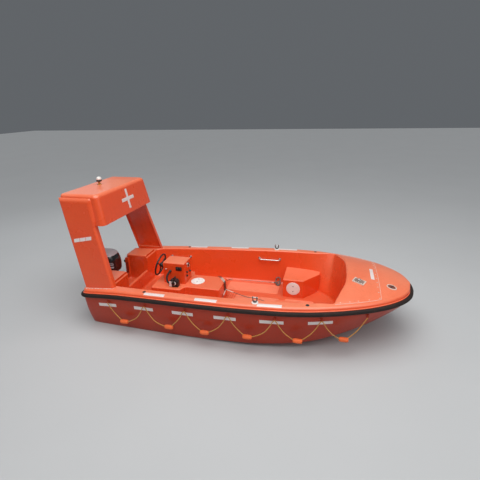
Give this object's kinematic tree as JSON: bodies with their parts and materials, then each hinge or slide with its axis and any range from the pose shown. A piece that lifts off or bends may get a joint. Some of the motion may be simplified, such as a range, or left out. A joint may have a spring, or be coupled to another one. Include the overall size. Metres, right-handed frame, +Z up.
{
  "type": "open rescue lifeboat with outboard motor",
  "caption": "Open orange rescue lifeboat with a stern arch, console, side fender, grab lines and a tilting, steering outboard motor.",
  "frame": {"origin": "on the waterline, on the centreline, midway between the ends of the fender", "axes": "+X towards the bow, +Y to port, +Z up"},
  "size_m": [4.925, 2.0206, 2.5976],
  "materials": {
    "grp_orange": "glossy gelcoat with light chalking",
    "rubber_black": "matt, weathered",
    "plastic_white": "satin",
    "lamp_amber": "clear gloss",
    "plastic_black": "satin",
    "stainless": "polished, lightly weathered",
    "bridle_steel": "galvanised, weathered",
    "rope_yellow": "braided polypropylene",
    "motor_black": "gloss black enamel",
    "motor_alloy": "cast, painted"
  },
  "bodies": {
    "hull": {"hull_shell": "grp_orange", "deck_liner": "grp_orange", "foredeck_panel": "grp_orange", "arch_leg_port": "grp_orange", "arch_leg_starboard": "grp_orange", "arch_cap": "grp_orange", "seat_box": "grp_orange", "console": "grp_orange", "locker_port": "grp_orange", "locker_starboard": "grp_orange", "fender_port": "rubber_black", "fender_starboard": "rubber_black", "fender_bow": "rubber_black", "control_hose": "rubber_black", "light_dome": "plastic_white", "hatch_seat": "plastic_white", "hatch_locker_port": "plastic_white", "hatch_locker_starboard": "plastic_white", "lift_pad_port": "plastic_white", "lift_pad_starboard": "plastic_white", "light_stem": "lamp_amber", "socket_panel": "plastic_black", "control_box": "plastic_black", "throttle_lever": "plastic_black", "steering_boss": "plastic_black", "gauge": "stainless", "handrail_aft_port": "stainless", "handrail_aft_starboard": "stainless", "handrail_forward_port": "stainless", "handrail_forward_starboard": "stainless", "lift_eye_port": "stainless", "lift_eye_starboard": "stainless", "mooring_cleat": "stainless", "deck_fitting": "stainless", "bridle_link": "bridle_steel", "bridle_rings": "bridle_steel", "bridle_shackle_port_aft": "bridle_steel", "bridle_shackle_starboard_forward": "bridle_steel", "bridle_shackle_starboard_aft": "bridle_steel", "bridle_wire_port_aft": "bridle_steel", "bridle_wire_port_forward": "bridle_steel", "bridle_wire_starboard_forward": "bridle_steel", "bridle_wire_starboard_aft": "bridle_steel", "grab_line_port": "rope_yellow", "grab_line_starboard": "rope_yellow", "clamp_bracket": "motor_black"},
    "tilt_bracket": {"swivel_bracket": "motor_black"},
    "outboard": {"motor_leg": "motor_black", "cowl_pan": "motor_black", "cowl_top": "motor_black"},
    "propeller": {"propeller": "motor_alloy"},
    "helm_wheel": {"steering_wheel": "plastic_black"}
  },
  "joints": [
    {"name": "outboard_tilt", "type": "hinge", "parent": "hull", "child": "tilt_bracket", "pos_m": [-2.24, 0, 0.365], "axis": [0, 1, 0], "range_deg": [0, 62]},
    {"name": "outboard_steer", "type": "hinge", "parent": "tilt_bracket", "child": "outboard", "pos_m": [-2.325, 0, 0.2], "axis": [0, 0, 1], "range_deg": [-32, 32]},
    {"name": "propeller_spin", "type": "hinge", "parent": "outboard", "child": "propeller", "pos_m": [-2.55, 0, -0.385], "axis": [1, 0, 0], "continuous": true},
    {"name": "wheel_turn", "type": "hinge", "parent": "hull", "child": "helm_wheel", "pos_m": [-1.2963, 0, 0.64], "axis": [0.9659, 0, -0.2588], "range_deg": [-360, 360]}
  ],
  "couplings": [
    {"joint": "wheel_turn", "follows": "outboard_steer", "ratio": 11}
  ]
}
